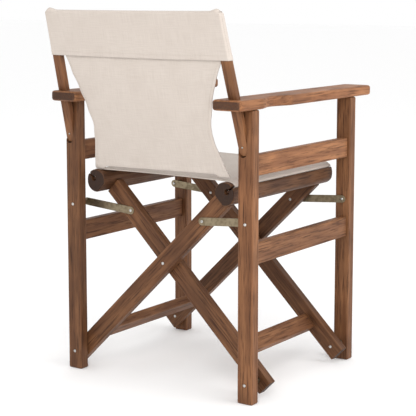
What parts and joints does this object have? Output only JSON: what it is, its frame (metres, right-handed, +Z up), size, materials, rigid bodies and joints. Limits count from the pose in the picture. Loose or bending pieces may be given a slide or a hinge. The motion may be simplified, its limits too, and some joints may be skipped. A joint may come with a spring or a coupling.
{
  "type": "folding chair",
  "caption": "Wooden folding armchair: two side frames joined by crossed bars with link stays, carrying a canvas sling seat and back.",
  "frame": {"origin": "on the floor under the middle of the open chair's bounding box", "axes": "+Z up, -Y the way the sitter faces, +X the sitter's left"},
  "size_m": [0.5402, 0.6108, 0.848],
  "materials": {
    "wood": "oiled brown hardwood, satin, edges slightly worn",
    "dark_wood": "the same hardwood, darker piece, satin",
    "steel": "plain domed rivet and screw heads, lightly dulled",
    "zinc": "yellow passivated zinc plate, dull olive brass",
    "canvas": "undyed plain-weave cotton canvas, matt, folded and stitched hems"
  },
  "bodies": {
    "side_left": {"left_rear_post": "wood", "left_front_post": "wood", "left_armrest": "wood", "left_upper_rail": "wood", "left_mid_rail": "wood", "left_back_stick": "wood", "left_stick_screw": "steel", "left_rear_foot_rivet": "steel", "left_front_foot_rivet": "steel", "left_rear_foot_washer": "zinc", "left_front_foot_washer": "zinc", "left_rear_link_pin": "steel", "left_front_link_pin": "steel", "left_rear_link_spacer": "zinc", "left_front_link_spacer": "zinc", "back_panel": "canvas", "hood_pocket": "canvas"},
    "cross_b": {"rear_bar_b": "wood", "front_bar_b": "wood", "right_seat_rail": "dark_wood", "right_hem_dowel": "wood", "stretcher_b": "wood", "rear_crossing_rivet": "steel", "front_crossing_rivet": "steel", "rear_crossing_washer": "zinc", "front_crossing_washer": "zinc", "right_rear_link_rivet": "steel", "right_front_link_rivet": "steel", "seat_panel": "canvas"},
    "cross_a": {"rear_bar_a": "wood", "front_bar_a": "wood", "left_seat_rail": "dark_wood", "left_hem_dowel": "wood", "stretcher_a": "wood", "left_rear_link_rivet": "steel", "left_front_link_rivet": "steel"},
    "side_right": {"right_rear_post": "wood", "right_front_post": "wood", "right_armrest": "wood", "right_upper_rail": "wood", "right_mid_rail": "wood", "right_back_stick": "wood", "right_stick_screw": "steel", "right_rear_foot_rivet": "steel", "right_front_foot_rivet": "steel", "right_rear_foot_spacer": "zinc", "right_front_foot_spacer": "zinc", "right_rear_link_pin": "steel", "right_front_link_pin": "steel"},
    "link_left_rear": {"left_rear_link": "zinc", "left_rear_link_button": "steel"},
    "link_left_front": {"left_front_link": "zinc", "left_front_link_button": "steel"},
    "link_right_rear": {"right_rear_link": "zinc", "right_rear_link_button": "steel"},
    "link_right_front": {"right_front_link": "zinc", "right_front_link_button": "steel"}
  },
  "joints": [
    {"name": "left_foot_hinge", "type": "hinge", "parent": "side_left", "child": "cross_b", "pos_m": [0.2387, -0.0054, 0.0418], "axis": [0, 1, 0], "range_deg": [0, 23.46], "deforming": ["back_panel", "hood_pocket"]},
    {"name": "crossing_hinge", "type": "hinge", "parent": "cross_b", "child": "cross_a", "pos_m": [0, -0.0054, 0.27637], "axis": [0, 1, 0], "range_deg": [-51.01, 0], "deforming": ["seat_panel"]},
    {"name": "right_foot_hinge", "type": "hinge", "parent": "cross_a", "child": "side_right", "pos_m": [-0.2387, -0.0054, 0.0418], "axis": [0, 1, 0], "range_deg": [0, 23.47]},
    {"name": "left_rear_link_hinge", "type": "hinge", "parent": "cross_a", "child": "link_left_rear", "pos_m": [0.10877, -0.0054, 0.38326], "axis": [0, 1, 0], "range_deg": [0, 84.82]},
    {"name": "left_front_link_hinge", "type": "hinge", "parent": "cross_a", "child": "link_left_front", "pos_m": [0.10877, -0.0054, 0.38326], "axis": [0, 1, 0], "range_deg": [0, 84.82]},
    {"name": "right_rear_link_hinge", "type": "hinge", "parent": "cross_b", "child": "link_right_rear", "pos_m": [-0.10877, -0.0054, 0.38326], "axis": [0, 1, 0], "range_deg": [-84.82, 0]},
    {"name": "right_front_link_hinge", "type": "hinge", "parent": "cross_b", "child": "link_right_front", "pos_m": [-0.10877, -0.0054, 0.38326], "axis": [0, 1, 0], "range_deg": [-84.82, 0]}
  ],
  "couplings": [
    {"joint": "crossing_hinge", "follows": "left_foot_hinge", "ratio": -2.1734},
    {"joint": "right_foot_hinge", "follows": "left_foot_hinge", "ratio": 1},
    {"joint": "left_rear_link_hinge", "follows": "left_foot_hinge", "ratio": 3.6143},
    {"joint": "left_front_link_hinge", "follows": "left_foot_hinge", "ratio": 3.6143},
    {"joint": "right_rear_link_hinge", "follows": "left_foot_hinge", "ratio": -3.6143},
    {"joint": "right_front_link_hinge", "follows": "left_foot_hinge", "ratio": -3.6143}
  ]
}
